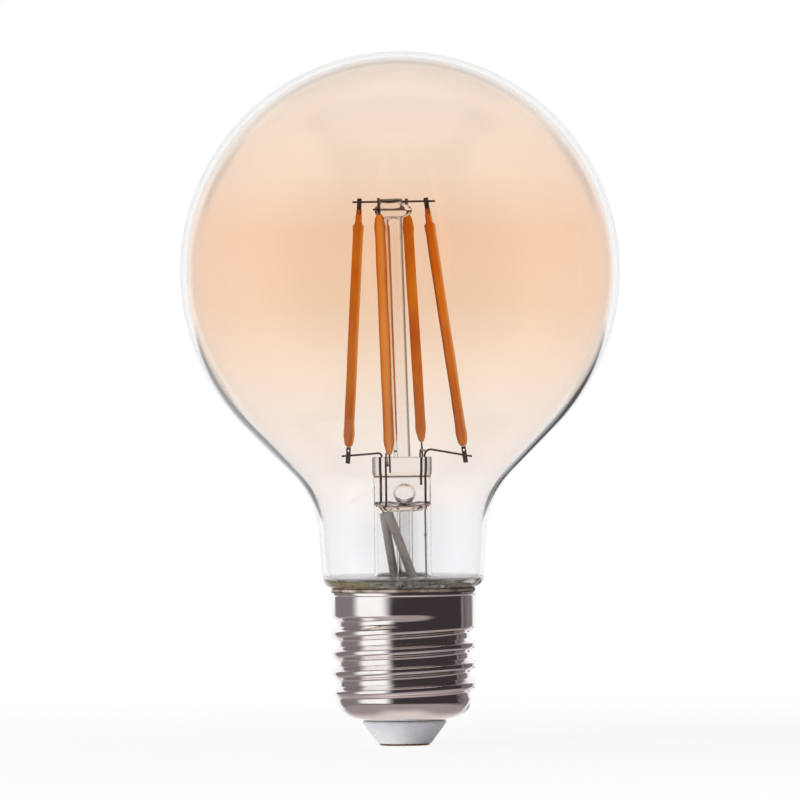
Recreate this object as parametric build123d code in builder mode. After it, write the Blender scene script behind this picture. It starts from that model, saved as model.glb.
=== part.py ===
from build123d import *
import os
from math import cos, hypot, radians, sin, tan

os.makedirs("parts", exist_ok=True)

# Clearances between pieces that seat on, or are sealed in, one another
seat_gap = 0.05
seal_gap = 0.04
weld_gap = 0.08

# Centre contact and insulator, stacked from the contact's underside
contact_radius = 4.6
contact_thickness = 0.35
contact_edge = 0.15
rivet_radius = 1.2
rivet_head_overhang = 0.7
rivet_head_thickness = 0.3
insulator_height = 4.25
insulator_foot_radius = 5.0
insulator_brim = 0.1
insulator_edge = 0.25
flange_overlap = 1.0
flange_thickness = 0.65

# Screw shell, rolled from sheet: 27 mm screw size, seven threads to the inch
sheet = 0.3
shell_height = 23.25
shell_hole_radius = 5.6
dome_width = 2.6
dome_rise = 1.25
shoulder_width = 2.1
shoulder_rise = 2.6
crest_radius = 13.1
thread_depth = 0.9
thread_pitch = 25.4 / 7
thread_crest_width = 1.0
thread_root_flat = 0.73
thread_lead_in = 0.92
thread_fade = 0.9
thread_sink = 0.15
collar_step = 0.05
collar_height = 5.2
collar_slope = 0.8
lip_flare = 0.2
lip_height = 0.6

# Cement between the collar and the globe's spigot, and round the spigot's foot
cement_wall = 0.37
cement_floor = 0.7
cement_fillet = 1.2
cement_rise = 1.8
rim_clearance = 0.7

# Blown glass globe
globe_radius = 40.0
glass_wall = 1.1
cone_angle = 45
throat_radius = 17.2
neck_flare = 0.5
neck_length = 6.9
curl_radius = 2.1
curl_ledge = 0.15
spigot_length = 3.8

# Glass stem: flare tube with its skirt, press, exhaust tube and post
stem_height = 23.06
flare_rim_gap = 0.35
flare_angle = 80
flare_bend = 0.8
tube_radius = 5.2
tube_wall = 0.6
cavity_inset = 0.2
cavity_thickness = 3.0
cavity_corner = 1.2
cavity_rise = 1.8
web_taper = 3.6
web_rise = 3.9
web_thickness = 3.6
web_corner = 1.4
bar_height = 2.9
bar_lip = 0.25
bar_thickness = 5.0
bar_corner = 1.1
blow_hole_radius = 1.75
blow_hole_rise = 2.0
exhaust_radius = 1.45
exhaust_wall = 0.6
exhaust_offset = 0.4
exhaust_length = 27.66
exhaust_nib = 2.2
post_radius = 1.55
post_height = 46.5
post_lean = 1.43
post_seat = 1.5
button_reach = 3.4
button_height = 3.3
button_slope = 1.1
button_top_reach = 2.3
button_thickness = 3.2

# Filaments: heads on a small ring round the post, feet on a wider ring round the press
head_ring = 6.8
head_turn = 22
foot_ring = 10.83
foot_turn = 15.7
foot_shift = 0.7
head_drops = (2.8, 3.0, 2.8, 2.9)
foot_rises = (1.8, 0.4, 2.6, 1.8)
filament_radius = 0.97
filament_taper = 1.4
terminal_width = 0.8
terminal_thickness = 0.3
terminal_length = 3.0
eyelet_radius = 0.22
eyelet_reach = 0.7

# Wires, their welds on the filaments' terminals and their way down to the board
wire_radius = 0.19
arm_bends = (0.6, 0.6, 1.0, 1.2)
wire_overhang = 1.5
arm_rises = (0.7, 0.7, 1.2, 1.5)
foot_weld = 1.6
outer_weld = 2.4
inner_weld = 1.0
left_hole_way = 0.4
front_hole_inset = 1.7
front_hole_way = -1.4
rear_hole_inset = 1.3
rear_hole_way = 0.8
rear_hole_depth = 5.0
right_hole_inset = 0.5
right_hole_way = -0.5
kink_drop = 0.7
kink_bend = 1.5
left_lead_end = (1.9, 4.0)
front_lead_end = (9.3, -5.0)
right_lead_end = (4.6, 1.5)
knot_radius = 0.32
knot_drop = 5.9

# Woven sleeves on the left and front leads
sleeve_radius = 0.8
sleeve_length = 22.0
sleeve_drop = 1.2
sleeve_clearance = 0.1

# Driver inside the cap
board_thickness = 1.0
board_clearance = 0.25
board_margin = 0.6
rectifier_size = (4.7, 3.9, 1.6)
rectifier_place = (-6.0, -3.5)
chip_size = (4.9, 3.9, 1.5)
chip_place = (-0.5, -2.6)
choke_radius = 2.6
choke_height = 5.0
choke_flange = 0.8
choke_waist = 1.8
choke_turn = 136
capacitor_radius = 2.5
capacitor_height = 7.0
capacitor_edge = 0.4
capacitor_turn = 48
resistor_radius = 1.1
resistor_length = 4.6
resistor_leg_reach = 1.1
resistor_lead_radius = 0.3
resistor_lead_bend = 0.5
resistor_stand = 0.3
resistor_inset = 3.65
live_wire_radius = 0.35
neutral_wire_radius = 0.35
neutral_rise = 1.4
neutral_bend = 0.6
neutral_inset = 1.8

# Cap: radii from the thread's crest, heights from the stack
root_radius = crest_radius - thread_depth
bore_radius = root_radius - sheet
knee_radius = root_radius - shoulder_width
base_edge_radius = knee_radius - dome_width
collar_radius = crest_radius + collar_step
lip_radius = collar_radius + lip_flare
insulator_girth_radius = base_edge_radius + insulator_brim
flange_radius = shell_hole_radius + flange_overlap
shell_base = contact_thickness + insulator_height + seat_gap
shell_top = shell_base + shell_height
knee_height = shell_base + dome_rise
dome_top = knee_height + shoulder_rise
collar_base = shell_top - collar_height
thread_base = dome_top - thread_lead_in - thread_pitch
thread_height = collar_base + 2 * thread_pitch - thread_base
thread_base_width = thread_pitch - thread_root_flat
flange_base = shell_base + sheet + seat_gap
rivet_top = flange_base + flange_thickness + seat_gap + rivet_head_thickness

# The board lies on the inside of the shell's shoulder
board_radius = bore_radius - board_clearance
shoulder_sheet = sheet * hypot(shoulder_width, shoulder_rise) / shoulder_width
shoulder_drop = (root_radius - board_radius) * shoulder_rise / shoulder_width
board_base = dome_top - shoulder_drop + shoulder_sheet + seat_gap
board_top = board_base + board_thickness

# Globe: its spigot is cemented in the collar; throat, cone and sphere run on without a crease
spigot_radius = collar_radius - sheet - cement_wall - 2 * seal_gap
curl_out = spigot_radius + curl_ledge
neck_base_radius = curl_out + curl_radius
neck_radius = neck_base_radius + neck_flare
glass_base = shell_top + rim_clearance
glass_ledge = glass_base + glass_wall
neck_base = glass_base + curl_radius
neck_top = neck_base + neck_length
throat_out = neck_radius + throat_radius * (1 - cos(radians(cone_angle)))
throat_up = neck_top + throat_radius * sin(radians(cone_angle))
sphere_out = globe_radius * cos(radians(cone_angle))
sphere_low = throat_up + (sphere_out - throat_out) / tan(radians(cone_angle))
globe_centre = sphere_low + globe_radius * sin(radians(cone_angle))

# Stem: its skirt stands on the globe's ledge, and its levels follow down from the top of the press
flare_rim_radius = curl_out - flare_rim_gap
skirt_base = glass_ledge + seal_gap
tube_bore = tube_radius - tube_wall
bar_top = skirt_base + stem_height
bar_base = bar_top - bar_height
web_base = bar_base - web_rise
tube_top = web_base - web_taper
cavity_top = tube_top + cavity_rise
web_width = 2 * tube_radius
bar_width = web_width + 2 * bar_lip
cavity_width = 2 * (tube_bore - cavity_inset)
blow_hole_height = cavity_top + blow_hole_rise
exhaust_bore = exhaust_radius - exhaust_wall
exhaust_top = cavity_top - seal_gap
lead_kink = cavity_top - kink_drop

# Holes for the wires in the press, from left to right, as the filaments stand
left_hole = (sleeve_radius + sleeve_clearance - tube_bore, left_hole_way)
front_hole = (front_hole_inset - tube_bore, front_hole_way)
rear_hole = (tube_bore - rear_hole_inset, rear_hole_way)
right_hole = (tube_bore - right_hole_inset, right_hole_way)
wire_holes = (left_hole, front_hole, rear_hole, right_hole)

# The post leans a little; the filaments' heads gather round its leaning axis
post_axis = Vector(-sin(radians(post_lean)), 0, cos(radians(post_lean)))
post_foot = Vector(0, 0, bar_top) - post_axis * post_seat
post_across = Vector(post_axis.Z, 0, -post_axis.X)
post_plane = Plane(post_foot, x_dir=post_across, z_dir=post_axis)
post_half = Plane(post_foot, x_dir=post_across, z_dir=(0, -1, 0))
post_length = (bar_top + post_height - post_foot.Z) / post_axis.Z


def ring_point(ring, azimuth, height, shift):
    """Point on a level ring whose centre is shifted sideways"""
    return Vector(shift + ring * cos(radians(azimuth)), ring * sin(radians(azimuth)), height)


# Filaments from left to right: rear left, front, rear, front right
quarter_turns = (180, -90, 90, 0)
heads = []
feet = []
for quarter, head_drop, foot_rise in zip(quarter_turns, head_drops, foot_rises):
    head_rise = post_height - head_drop
    head_shift = post_axis.X / post_axis.Z * head_rise
    heads.append(ring_point(head_ring, quarter - head_turn, bar_top + head_rise, head_shift))
    feet.append(ring_point(foot_ring, quarter - foot_turn, bar_top + foot_rise, foot_shift))


def finish(piece, name):
    """Label a finished piece and write it to its own file"""
    piece.part.label = name
    export_step(piece.part, f"parts/{name}.step")


def globe_section(inset):
    """Half section of the globe, drawn inset from its outer skin and closed along its axis"""
    with BuildSketch(Plane.XZ) as section:
        with BuildLine():
            spigot = spigot_radius - inset
            spigot_foot = glass_base - spigot_length
            ledge = glass_base + inset
            Polyline((0, spigot_foot), (spigot, spigot_foot), (spigot, ledge), (curl_out, ledge))
            CenterArc((curl_out, neck_base), curl_radius - inset, -90, 90)
            Line((neck_base_radius - inset, neck_base), (neck_radius - inset, neck_top))
            throat_centre = (neck_radius + throat_radius, neck_top)
            throat = CenterArc(throat_centre, throat_radius + inset, 180, -cone_angle)
            sphere = CenterArc((0, globe_centre), globe_radius - inset, -cone_angle, 90 + cone_angle)
            Line(throat @ 1, sphere @ 0)
            Line(sphere @ 1, (0, spigot_foot))
        make_face()
    return section.sketch


with BuildPart() as glass_globe:
    revolve(globe_section(0), axis=Axis.Z)
    revolve(globe_section(glass_wall), axis=Axis.Z, mode=Mode.SUBTRACT)
finish(glass_globe, "glass_globe")

# Thread: a ridge wound up the shell's root; it fades in above the dome and ends under the collar's slope
with BuildPart() as thread_ridge:
    with BuildLine() as winding:
        Helix(thread_pitch, thread_height, root_radius, center=(0, 0, thread_base))
    with BuildSketch(Plane(winding.line @ 0, x_dir=(1, 0, 0), z_dir=winding.line % 0)):
        with BuildLine():
            Polyline(
                (-thread_sink, -thread_base_width / 2),
                (thread_depth, -thread_crest_width / 2),
                (thread_depth, thread_crest_width / 2),
                (-thread_sink, thread_base_width / 2),
                close=True,
            )
        make_face()
    sweep(path=winding.line, is_frenet=True)
    with BuildSketch(Plane.XZ):
        with BuildLine():
            Polyline(
                (bore_radius, dome_top),
                (root_radius - thread_sink, dome_top),
                (lip_radius, dome_top + thread_fade),
                (lip_radius, collar_base - collar_slope),
                (bore_radius, collar_base - collar_slope),
                close=True,
            )
        make_face()
    revolve(axis=Axis.Z, mode=Mode.INTERSECT)

# Screw shell: one sheet from the hole in its base to its flared lip, with the thread raised on it
with BuildPart() as screw_shell:
    with BuildSketch(Plane.XZ):
        with BuildLine():
            Polyline(
                (shell_hole_radius, shell_base),
                (base_edge_radius, shell_base),
                (knee_radius, knee_height),
                (root_radius, dome_top),
                (root_radius, collar_base - collar_slope),
                (collar_radius, collar_base),
                (collar_radius, shell_top - lip_height),
                (lip_radius, shell_top - lip_height / 2),
                (lip_radius, shell_top),
            )
            offset(amount=sheet, kind=Kind.INTERSECTION, side=Side.LEFT)
        make_face()
    revolve(axis=Axis.Z)
    add(thread_ridge.part)
finish(screw_shell, "screw_shell")

# Insulator, moulded through the hole in the shell's base, with the rivet's bore up its middle
with BuildPart() as insulator:
    with BuildSketch(Plane.XZ):
        with BuildLine():
            top = contact_thickness + insulator_height
            plug_radius = shell_hole_radius - seat_gap
            Polyline(
                (rivet_radius + seat_gap, contact_thickness),
                (insulator_foot_radius, contact_thickness),
                (insulator_girth_radius, top - insulator_edge),
                (insulator_girth_radius - insulator_edge, top),
                (plug_radius, top),
                (plug_radius, flange_base),
                (flange_radius, flange_base),
                (flange_radius, flange_base + flange_thickness),
                (rivet_radius + seat_gap, flange_base + flange_thickness),
                close=True,
            )
        make_face()
    revolve(axis=Axis.Z)
finish(insulator, "insulator")

# Centre contact: a disc with a rivet that is headed over on top of the insulator
with BuildPart() as centre_contact:
    with BuildSketch(Plane.XY):
        Circle(contact_radius)
    extrude(amount=contact_thickness - seat_gap)
    chamfer(centre_contact.faces().sort_by(Axis.Z)[0].edges(), length=contact_edge)
    with BuildSketch(Plane.XY):
        Circle(rivet_radius)
    extrude(amount=rivet_top)
    with BuildSketch(Plane.XY.offset(rivet_top - rivet_head_thickness)):
        Circle(rivet_radius + rivet_head_overhang)
    extrude(amount=rivet_head_thickness)
finish(centre_contact, "centre_contact")

# Cement: a trough for the globe's spigot, up the collar's wall to a bead that swells out over the lip
with BuildPart() as cap_cement:
    with BuildSketch(Plane.XZ):
        with BuildLine():
            cement_in = spigot_radius + seal_gap
            cement_out = collar_radius - sheet - seal_gap
            cement_top = glass_base - seal_gap
            bead_base = shell_top + seal_gap
            spigot_seat = glass_base - spigot_length - seal_gap
            fillet_radius = spigot_radius - glass_wall - seal_gap
            Polyline(
                (fillet_radius - cement_fillet, spigot_seat - cement_floor),
                (cement_out, spigot_seat - cement_floor),
                (cement_out, bead_base),
                (collar_radius, bead_base),
                (lip_radius, (bead_base + cement_top) / 2),
                (collar_radius, cement_top),
                (cement_in, cement_top),
                (cement_in, spigot_seat),
                (fillet_radius, spigot_seat),
                (fillet_radius, spigot_seat + cement_rise),
                close=True,
            )
        make_face()
    revolve(axis=Axis.Z)
finish(cap_cement, "cap_cement")

# Flare: a tube whose skirt stands on the globe's ledge and whose top is pressed flat round the wires
bend_out = tube_radius + flare_bend
bend_run = bend_out - flare_bend * cos(radians(flare_angle))
skirt_rise = (flare_rim_radius - bend_run) / tan(radians(flare_angle))
rim_thickness = tube_wall / sin(radians(flare_angle))
rim_top = skirt_base + rim_thickness
bend_height = rim_top + skirt_rise + flare_bend * sin(radians(flare_angle))
with BuildPart() as stem_flare:
    with BuildSketch(Plane.XZ):
        with BuildLine():
            outside = CenterArc((bend_out, bend_height), flare_bend, 180, flare_angle)
            inside = CenterArc((bend_out, bend_height), flare_bend + tube_wall, 180, flare_angle)
            Polyline(outside @ 1, (flare_rim_radius, rim_top), (flare_rim_radius, skirt_base), inside @ 1)
            Polyline(inside @ 0, (tube_bore, tube_top), (tube_radius, tube_top), outside @ 0)
        make_face()
    revolve(axis=Axis.Z)
    with BuildSketch(Plane.XY.offset(tube_top)):
        Circle(tube_radius)
    with BuildSketch(Plane.XY.offset(web_base)):
        RectangleRounded(web_width, web_thickness, web_corner)
    loft()
    with BuildSketch(Plane.XY.offset(web_base)):
        RectangleRounded(web_width, web_thickness, web_corner)
    extrude(amount=bar_top - web_base)
    with BuildSketch(Plane.XY.offset(bar_base)):
        RectangleRounded(bar_width, bar_thickness, bar_corner)
    extrude(amount=bar_top - bar_base)
    with BuildSketch(Plane.XY.offset(tube_top)):
        Circle(tube_bore)
    with BuildSketch(Plane.XY.offset(cavity_top)):
        RectangleRounded(cavity_width, cavity_thickness, cavity_corner)
    loft(mode=Mode.SUBTRACT)
    with BuildSketch(Plane.XY.offset(cavity_top)):
        with Locations((exhaust_offset, 0)):
            Circle(exhaust_bore)
    extrude(amount=blow_hole_rise, mode=Mode.SUBTRACT)
    with BuildSketch(Plane.XZ):
        with Locations((exhaust_offset, blow_hole_height)):
            Circle(blow_hole_radius)
    extrude(amount=bar_thickness, mode=Mode.SUBTRACT)
    rear_hole_base = bar_top - rear_hole_depth - seal_gap
    for hole, hole_base in zip(wire_holes, (tube_top, tube_top, rear_hole_base, tube_top)):
        with BuildSketch(Plane.XY.offset(hole_base)):
            with Locations(hole):
                Circle(wire_radius + seal_gap)
        extrude(amount=bar_top - hole_base, mode=Mode.SUBTRACT)
    with BuildSketch(post_plane):
        Circle(post_radius + seal_gap)
    extrude(amount=post_length, mode=Mode.SUBTRACT)
finish(stem_flare, "stem_flare")

# Exhaust tube: hangs from the press, open at its top and drawn to a sealed nib at its tip
exhaust_foot = Vector(exhaust_offset, 0, exhaust_top - exhaust_length)
with BuildPart() as exhaust_tube:
    with BuildSketch(Plane(exhaust_foot, x_dir=(1, 0, 0), z_dir=(0, -1, 0))):
        with BuildLine():
            Polyline(
                (0, 0),
                (exhaust_radius - exhaust_bore, 0),
                (exhaust_radius, exhaust_nib),
                (exhaust_radius, exhaust_length),
                (exhaust_bore, exhaust_length),
                (exhaust_bore, exhaust_nib),
                (0, exhaust_nib),
                close=True,
            )
        make_face()
    revolve(axis=Axis(exhaust_foot, (0, 0, 1)))
finish(exhaust_tube, "exhaust_tube")


def straight_rod(start, end, radius):
    """Round rod from one point to another"""
    run = end - start
    with BuildPart() as rod:
        with BuildSketch(Plane(start, z_dir=run)):
            Circle(radius)
        extrude(amount=run.length)
    return rod


def bent_rod(points, radius, bends):
    """Round rod along straight runs joined by tangent bends"""
    with BuildPart() as rod:
        with BuildLine() as route:
            FilletPolyline(*points, radius=bends)
        with BuildSketch(Plane(route.line @ 0, z_dir=route.line % 0)):
            Circle(radius)
        sweep(path=route.line)
    return rod


def weld_point(end, axis, wire_run, reach):
    """Where a wire's centre passes a terminal's flat side"""
    side = axis.cross(wire_run).normalized()
    return end + axis * reach + side * (terminal_thickness / 2 + wire_radius + weld_gap)


# Top wires: each runs straight through the button, from one filament's head to the opposite one
head_runs = {}
top_wires = {}
for name, near, far, reach in (("top_wire_outer", 0, 3, outer_weld), ("top_wire_inner", 1, 2, inner_weld)):
    run = (heads[far] - heads[near]).normalized()
    ends = []
    for index in (near, far):
        head_runs[index] = run
        axis = (heads[index] - feet[index]).normalized()
        ends.append(weld_point(heads[index], axis, run, reach))
    along = (ends[1] - ends[0]).normalized()
    top_wires[name] = (ends[0] - along * wire_overhang, ends[1] + along * wire_overhang)

for name, (start, end) in top_wires.items():
    finish(straight_rod(start, end, wire_radius), name)

# Post: a glass rod set in the press, its top pinched to a flat button round the top wires
with BuildPart() as stem_post:
    with BuildSketch(post_plane):
        Circle(post_radius)
    extrude(amount=post_length - button_slope)
    with BuildSketch(post_half):
        with BuildLine():
            button_base = post_length - button_height
            flank = Polyline(
                (post_radius, button_base),
                (button_reach, button_base + button_slope),
                (button_reach, post_length - button_slope),
                (button_top_reach, post_length),
            )
            mirror(flank, about=Plane.YZ)
            Line((-post_radius, button_base), (post_radius, button_base))
            Line((-button_top_reach, post_length), (button_top_reach, post_length))
        make_face()
    extrude(amount=button_thickness / 2, both=True)
    for start, end in top_wires.values():
        with BuildSketch(Plane(start, z_dir=end - start)):
            Circle(wire_radius + seal_gap)
        extrude(amount=(end - start).length, mode=Mode.SUBTRACT)
finish(stem_post, "stem_post")

# Filaments: a stick under phosphor, tapered at both ends, and a flat terminal welded to a wire at each end
arm_tops = [Vector(*hole, bar_top + rise) for hole, rise in zip(wire_holes, arm_rises)]
arm_ends = []
for index, (head, foot, arm_top) in enumerate(zip(heads, feet, arm_tops)):
    axis = (head - foot).normalized()
    length = (head - foot).length
    arm_run = (foot - axis * foot_weld - arm_top).normalized()
    weld = weld_point(foot, axis * -1, arm_run, foot_weld)
    arm_ends.append(weld + (weld - arm_top).normalized() * wire_overhang)
    with BuildPart() as filament:
        with BuildSketch(Plane(foot, x_dir=axis.cross(arm_run).cross(axis), z_dir=arm_run.cross(axis))):
            with BuildLine():
                Polyline(
                    (0, 0),
                    (terminal_width / 2, 0),
                    (filament_radius, filament_taper),
                    (filament_radius, length - filament_taper),
                    (terminal_width / 2, length),
                    (0, length),
                    close=True,
                )
            make_face()
        revolve(axis=Axis(foot, axis))
    finish(filament, f"filament_{index + 1}")
    with BuildPart() as terminals:
        for end, outward, run in ((head, axis, head_runs[index]), (foot, axis * -1, arm_run)):
            with BuildSketch(Plane(end + outward * seat_gap, x_dir=run, z_dir=outward)):
                Rectangle(terminal_width, terminal_thickness)
            extrude(amount=terminal_length)
            flat = Plane(end + outward * eyelet_reach, x_dir=outward, z_dir=outward.cross(run))
            with BuildSketch(flat):
                Circle(eyelet_radius)
            extrude(amount=terminal_thickness, both=True, mode=Mode.SUBTRACT)
    finish(terminals, f"filament_{index + 1}_terminals")

# Lead wires: from a filament's foot over the press, down through it and on to the board in the cap
lead_runs = {}
for name, index, board_place in (
    ("lead_left", 0, left_lead_end),
    ("lead_front", 1, front_lead_end),
    ("lead_right", 3, right_lead_end),
):
    kink = Vector(*wire_holes[index], lead_kink)
    lead_end = Vector(*board_place, board_top + seat_gap)
    lead_runs[name] = (kink, lead_end)
    route = (arm_ends[index], arm_tops[index], kink, lead_end)
    lead = bent_rod(route, wire_radius, (arm_bends[index], kink_bend))
    if name == "lead_right":
        knot_share = (knot_drop - kink_drop) / (lead_kink - lead_end.Z)
        with lead:
            with Locations(kink + (lead_end - kink) * knot_share):
                Sphere(knot_radius)
    finish(lead, name)

# Rear arm: a short wire sealed in the press only
rear_anchor = Vector(*wire_holes[2], bar_top - rear_hole_depth)
finish(bent_rod((arm_ends[2], arm_tops[2], rear_anchor), wire_radius, arm_bends[2]), "arm_rear")

# Sleeves: woven tubes slipped over the left and front leads below the press
for name, lead_name in (("sleeve_rear", "lead_left"), ("sleeve_front", "lead_front")):
    kink, lead_end = lead_runs[lead_name]
    down = (lead_end - kink).normalized()
    sleeve_top = kink + down * sleeve_drop
    with BuildPart() as sleeve:
        with BuildSketch(Plane(sleeve_top, z_dir=down)):
            Circle(sleeve_radius)
            Circle(wire_radius + seal_gap, mode=Mode.SUBTRACT)
        extrude(amount=sleeve_length)
    finish(sleeve, name)

# Driver board with its rectifier, control chip, choke, capacitor and fuse resistor
with BuildPart() as driver_board:
    with BuildSketch(Plane.XY.offset(board_base)):
        Circle(board_radius)
    extrude(amount=board_thickness)
finish(driver_board, "driver_board")

packages = {"bridge_rectifier": (rectifier_place, rectifier_size), "driver_chip": (chip_place, chip_size)}
for name, (place, (width, depth, height)) in packages.items():
    with BuildPart() as package:
        with BuildSketch(Plane.XY.offset(board_top)):
            with Locations(place):
                Rectangle(width, depth)
        extrude(amount=height)
    finish(package, name)

choke_ring = board_radius - choke_radius - board_margin
choke_centre = ring_point(choke_ring, choke_turn, board_top, 0)
with BuildPart() as choke:
    with BuildSketch(Plane(choke_centre)):
        Circle(choke_waist)
    extrude(amount=choke_height)
    for flange_rise in (0, choke_height - choke_flange):
        with BuildSketch(Plane(choke_centre).offset(flange_rise)):
            Circle(choke_radius)
        extrude(amount=choke_flange)
finish(choke, "choke")

capacitor_ring = board_radius - capacitor_radius - board_margin
with BuildPart() as capacitor:
    with BuildSketch(Plane(ring_point(capacitor_ring, capacitor_turn, board_top, 0))):
        Circle(capacitor_radius)
    extrude(amount=capacitor_height)
    chamfer(capacitor.faces().sort_by(Axis.Z)[-1].edges(), length=capacitor_edge)
finish(capacitor, "smoothing_capacitor")

resistor_row = resistor_inset - board_radius
resistor_axis = board_top + resistor_stand + resistor_radius
leg_reach = resistor_length / 2 + resistor_leg_reach
resistor_leads = bent_rod(
    (
        (-leg_reach, resistor_row, board_top),
        (-leg_reach, resistor_row, resistor_axis),
        (leg_reach, resistor_row, resistor_axis),
        (leg_reach, resistor_row, board_top),
    ),
    resistor_lead_radius,
    resistor_lead_bend,
)
with BuildPart() as fuse_resistor:
    add(resistor_leads.part)
    with BuildSketch(Plane.YZ):
        with Locations((resistor_row, resistor_axis)):
            Circle(resistor_radius)
    extrude(amount=resistor_length / 2, both=True)
finish(fuse_resistor, "fuse_resistor")

# Live wire from the rivet to the board, neutral wire from the board to the shell's wall
live_start = Vector(0, 0, rivet_top + seat_gap)
live_end = Vector(0, 0, board_base - seat_gap)
finish(straight_rod(live_start, live_end, live_wire_radius), "live_wire")

neutral_foot = bore_radius - neutral_inset
neutral_points = (
    (-neutral_foot, 0, board_top),
    (-neutral_foot, 0, board_top + neutral_rise),
    (seat_gap - bore_radius, 0, board_top + neutral_rise),
)
finish(bent_rod(neutral_points, neutral_wire_radius, neutral_bend), "neutral_wire")
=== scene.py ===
from math import cos, pi, radians, sin, tan

import bmesh
import bpy
from mathutils import Matrix, Vector, noise


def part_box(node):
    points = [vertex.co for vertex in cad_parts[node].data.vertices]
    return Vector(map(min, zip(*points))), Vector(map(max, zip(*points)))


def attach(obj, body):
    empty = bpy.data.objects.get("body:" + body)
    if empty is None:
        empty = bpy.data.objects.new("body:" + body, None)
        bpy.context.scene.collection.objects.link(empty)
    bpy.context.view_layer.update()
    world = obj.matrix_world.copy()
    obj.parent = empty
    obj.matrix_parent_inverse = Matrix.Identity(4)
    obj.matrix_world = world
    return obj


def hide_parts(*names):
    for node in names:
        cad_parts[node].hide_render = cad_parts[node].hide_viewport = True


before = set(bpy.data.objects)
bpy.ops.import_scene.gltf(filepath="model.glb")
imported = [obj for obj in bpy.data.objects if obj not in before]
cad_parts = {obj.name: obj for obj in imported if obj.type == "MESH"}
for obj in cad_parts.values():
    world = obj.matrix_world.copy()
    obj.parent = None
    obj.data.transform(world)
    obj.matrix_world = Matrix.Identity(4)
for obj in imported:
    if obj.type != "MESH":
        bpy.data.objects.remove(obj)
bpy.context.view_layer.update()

# Stem flare
# A drawn glass tube whose foot is flared out and sealed to the globe's neck. Its hot top was pinched flat round
# the lead wires, which leaves a thick bar, a crease under it and a blow hole in front.
mm = 0.001


def arc(centre, radius, start, end, steps):
    """Points of an arc in the plane of (radius, height), with its angles in degrees"""
    turns = [radians(start + (end - start) * step / steps) for step in range(steps + 1)]
    return [(centre[0] + radius * cos(turn), centre[1] + radius * sin(turn)) for turn in turns]


def line(start, end, steps):
    """Points of a straight stretch of an outline"""
    return [tuple(a + (b - a) * step / steps for a, b in zip(start, end)) for step in range(steps + 1)]


def turned(outline, steps, marks=()):
    """Mesh turned about the Z axis from an outline of (radius, height) points, with a mark on each if given"""
    mesh = bmesh.new()
    layer = mesh.verts.layers.float.new("mark")
    points = [mesh.verts.new((max(radius, 0), 0, height)) for radius, height in outline]
    for point, mark in zip(points, marks):
        point[layer] = mark
    edges = [mesh.edges.new(pair) for pair in zip(points, points[1:]) if pair[0].co != pair[1].co]
    bmesh.ops.spin(mesh, geom=points + edges, axis=(0, 0, 1), angle=2 * pi, steps=steps, use_merge=True)
    bmesh.ops.remove_doubles(mesh, verts=mesh.verts, dist=1e-7)
    bmesh.ops.recalc_face_normals(mesh, faces=mesh.faces)
    return mesh


def smooth_step(value, low, high):
    """0 below low, 1 above high and a smooth rise between them"""
    share = min(max((value - low) / (high - low), 0), 1)
    return share * share * (3 - 2 * share)


def placed(name, mesh, finish):
    """Object of a finished mesh, at the origin of the scene"""
    data = bpy.data.meshes.new(name)
    mesh.to_mesh(data)
    mesh.free()
    data.materials.append(finish)
    made = bpy.data.objects.new(name, data)
    bpy.context.scene.collection.objects.link(made)
    return made


def make_piece(name, mesh, finish, slot, *nodes, crease):
    """A smooth piece that rides on the bulb's one body; edges sharper than its crease in degrees stay sharp"""
    made = placed(name, mesh, finish)
    made.data.shade_smooth()
    made.data.set_sharp_from_angle(angle=radians(crease))
    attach(made, "root")
    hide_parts(*nodes)


class Shade:
    """A socket in a shader tree; sums on it add Math nodes"""

    def __init__(self, socket):
        self.socket = socket

    def node(self, kind, settings, sockets, out=0):
        """An output of a new node, whose settings are made before its sockets are set or linked"""
        tree = self.socket.id_data
        made = tree.nodes.new("ShaderNode" + kind)
        for name, value in settings.items():
            if name == "stops":
                while len(made.color_ramp.elements) < len(value):
                    made.color_ramp.elements.new(1)
                for element, (place, colour) in zip(made.color_ramp.elements, value):
                    element.position = place
                    element.color = (*colour, 1)
            else:
                setattr(made, name, value)
        for name, value in sockets.items():
            if isinstance(value, Shade):
                tree.links.new(value.socket, made.inputs[name])
            else:
                made.inputs[name].default_value = value
        return Shade(made.outputs[out])

    def sum(self, operation, *terms):
        """The result of a Math node"""
        return self.node("Math", {"operation": operation}, dict(enumerate(terms)))

    def __add__(self, other):
        return self.sum("ADD", self, other)

    def __sub__(self, other):
        return self.sum("SUBTRACT", self, other)

    def __mul__(self, other):
        return self.sum("MULTIPLY", self, other)

    def __truediv__(self, other):
        return self.sum("DIVIDE", self, other)

    def __radd__(self, other):
        return self.sum("ADD", other, self)

    def __rsub__(self, other):
        return self.sum("SUBTRACT", other, self)

    def __rmul__(self, other):
        return self.sum("MULTIPLY", other, self)

    def __rtruediv__(self, other):
        return self.sum("DIVIDE", other, self)

    def __abs__(self):
        return self.sum("ABSOLUTE", self)

    def most(self, other):
        """The larger of two values"""
        return self.sum("MAXIMUM", self, other)

    def between(self, low, high, start=0.0, end=1.0):
        """Goes smoothly from start to end while this value goes from low to high"""
        sockets = {"Value": self, "From Min": low, "From Max": high, "To Min": start, "To Max": end}
        return self.node("MapRange", {"interpolation_type": "SMOOTHSTEP"}, sockets)

    def mixed(self, first, second):
        """Colour that goes from first to second as this value goes from 0 to 1"""
        return self.node("Mix", {"data_type": "RGBA"}, {"Factor": self, 6: first, 7: second}, 2)


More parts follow.
